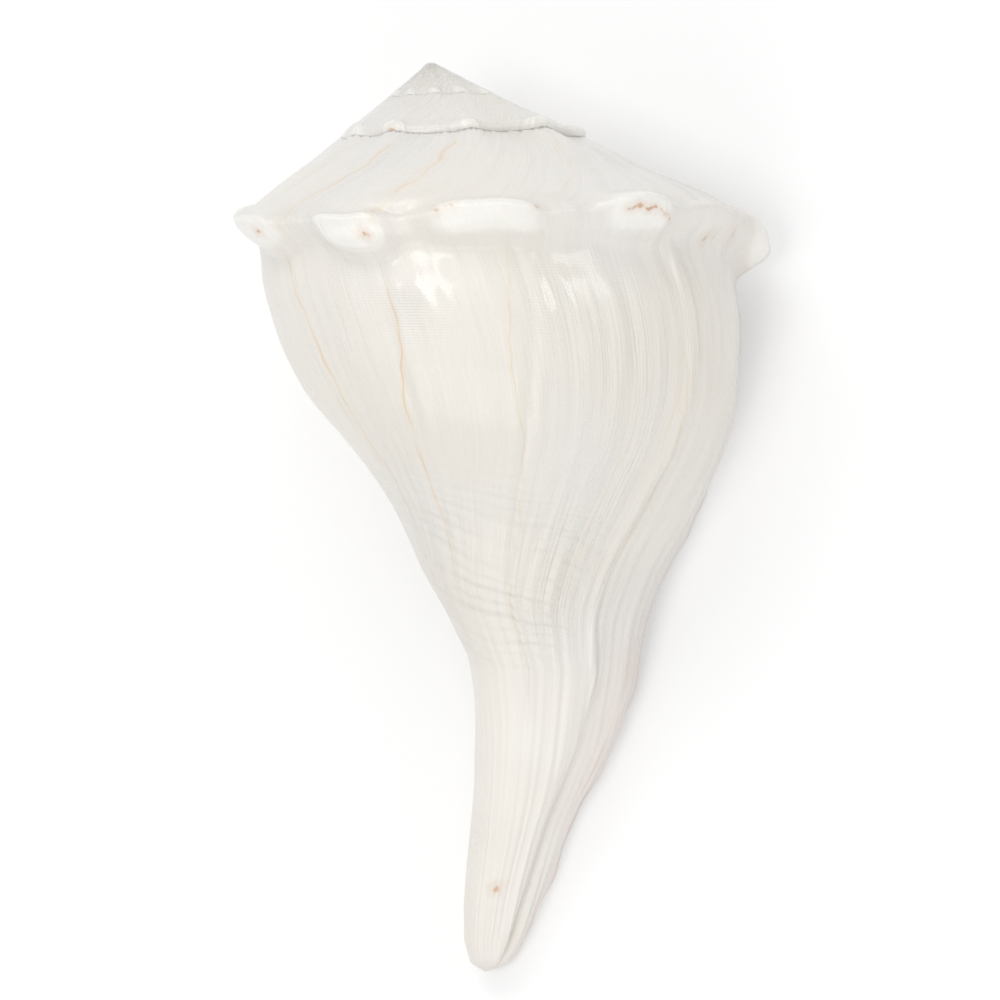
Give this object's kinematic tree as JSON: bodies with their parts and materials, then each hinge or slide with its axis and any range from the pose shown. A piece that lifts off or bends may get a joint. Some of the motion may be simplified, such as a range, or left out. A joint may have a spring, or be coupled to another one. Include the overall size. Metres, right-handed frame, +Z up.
{
  "type": "left-handed whelk shell",
  "caption": "Large pear-shaped sea snail shell with a low stepped spire, a knobbed shoulder, a wide open mouth and a long tapering canal.",
  "frame": {"origin": "bottom centre of the bounding box, on the surface that the shell lies on", "axes": "+Y towards the apex along the long axis, +X towards the side with the outer lip, +Z up, away from the mouth"},
  "size_m": [0.113, 0.1962, 0.0886],
  "materials": {
    "shell_surface": "smooth satin to glossy off-white shell"
  },
  "bodies": {
    "root": {"shell": "shell_surface"}
  },
  "joints": []
}
